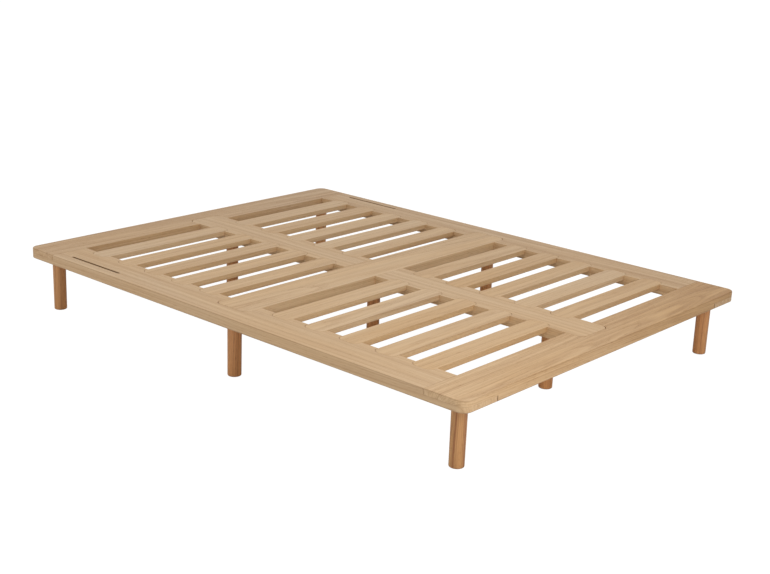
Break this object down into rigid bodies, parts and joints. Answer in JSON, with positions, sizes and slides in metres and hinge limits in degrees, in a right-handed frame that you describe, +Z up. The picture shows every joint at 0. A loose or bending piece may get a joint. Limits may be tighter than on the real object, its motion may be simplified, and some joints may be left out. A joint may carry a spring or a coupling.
{
  "type": "bed frame",
  "caption": "Low platform bed frame in solid oak: flush deck of half-lapped boards with drop-in slats, a centre rail and a cross board, on short turned screw-in legs",
  "frame": {"origin": "on the floor under the middle of the deck, the bottom centre of the bounding box", "axes": "+X to the right-hand side rail seen from the foot, +Y to the head end, +Z up"},
  "size_m": [1.62, 2.17, 0.25],
  "materials": {
    "oak_deck": "clear matt-oiled oak",
    "oak_slat": "clear matt-oiled oak",
    "oak_leg": "clear matt-oiled oak, turned",
    "zinc_steel": "bright zinc-plated"
  },
  "bodies": {
    "root": {"head_board": "oak_deck", "foot_board": "oak_deck", "left_side_rail": "oak_deck", "right_side_rail": "oak_deck", "centre_rail": "oak_deck", "cross_board": "oak_deck", "slat_head_left_1": "oak_slat", "slat_head_left_2": "oak_slat", "slat_head_left_3": "oak_slat", "slat_head_left_4": "oak_slat", "slat_head_left_5": "oak_slat", "slat_head_right_1": "oak_slat", "slat_head_right_2": "oak_slat", "slat_head_right_3": "oak_slat", "slat_head_right_4": "oak_slat", "slat_head_right_5": "oak_slat", "slat_foot_left_1": "oak_slat", "slat_foot_left_2": "oak_slat", "slat_foot_left_3": "oak_slat", "slat_foot_left_4": "oak_slat", "slat_foot_left_5": "oak_slat", "slat_foot_right_1": "oak_slat", "slat_foot_right_2": "oak_slat", "slat_foot_right_3": "oak_slat", "slat_foot_right_4": "oak_slat", "slat_foot_right_5": "oak_slat", "leg_head_left": "oak_leg", "leg_stud_head_left": "zinc_steel", "threaded_insert_head_left": "zinc_steel", "leg_head_right": "oak_leg", "leg_stud_head_right": "zinc_steel", "threaded_insert_head_right": "zinc_steel", "leg_foot_left": "oak_leg", "leg_stud_foot_left": "zinc_steel", "threaded_insert_foot_left": "zinc_steel", "leg_foot_right": "oak_leg", "leg_stud_foot_right": "zinc_steel", "threaded_insert_foot_right": "zinc_steel", "leg_middle_left": "oak_leg", "leg_stud_middle_left": "zinc_steel", "threaded_insert_middle_left": "zinc_steel", "leg_middle_centre": "oak_leg", "leg_stud_middle_centre": "zinc_steel", "threaded_insert_middle_centre": "zinc_steel", "leg_middle_right": "oak_leg", "leg_stud_middle_right": "zinc_steel", "threaded_insert_middle_right": "zinc_steel", "leg_head_centre": "oak_leg", "leg_stud_head_centre": "zinc_steel", "threaded_insert_head_centre": "zinc_steel", "leg_foot_centre": "oak_leg", "leg_stud_foot_centre": "zinc_steel", "threaded_insert_foot_centre": "zinc_steel", "tongue_screw_head_left": "zinc_steel", "tongue_screw_head_right": "zinc_steel", "tongue_screw_foot_left": "zinc_steel", "tongue_screw_foot_right": "zinc_steel"}
  },
  "joints": []
}
